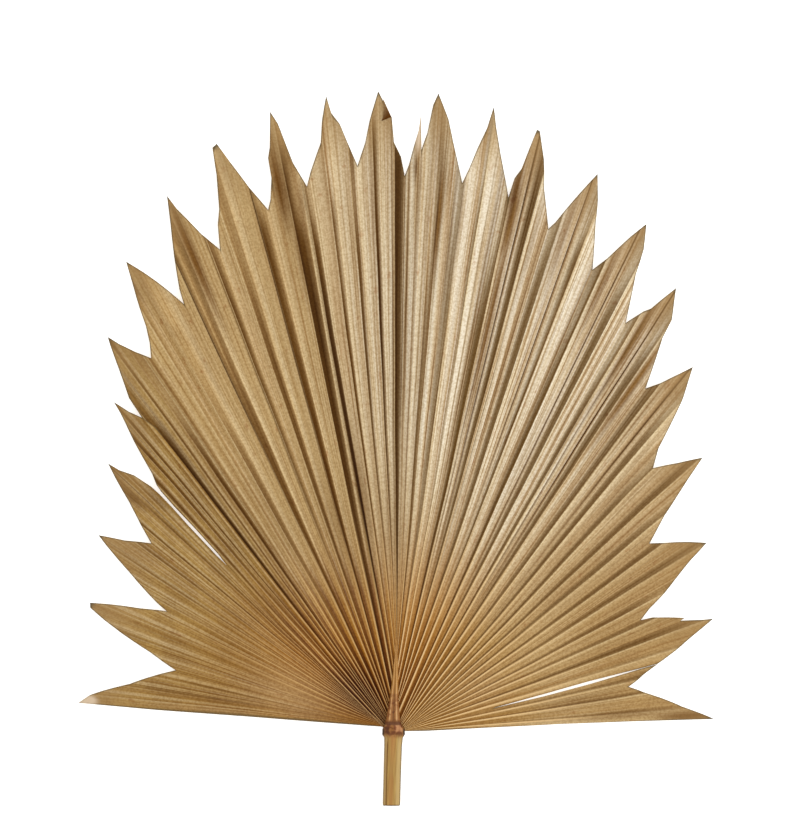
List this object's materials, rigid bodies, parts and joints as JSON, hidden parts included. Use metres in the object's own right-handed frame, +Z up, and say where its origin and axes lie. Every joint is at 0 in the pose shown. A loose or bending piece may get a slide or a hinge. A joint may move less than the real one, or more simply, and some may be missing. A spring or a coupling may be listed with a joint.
{
  "type": "dried palm leaf",
  "caption": "Dried fan-shaped palm leaf with radiating pleats, a rim cut into pointed rays and a short cut stem, lying flat.",
  "frame": {"origin": "middle of the leaf's footprint, on the surface it lies on", "axes": "+Y towards the leaf's top point, away from the stem; +Z up from the surface, out of the leaf's upper face"},
  "size_m": [0.4006, 0.4498, 0.0113],
  "materials": {
    "dried_palm": "matte"
  },
  "bodies": {
    "root": {"palm_leaf": "dried_palm"}
  },
  "joints": []
}
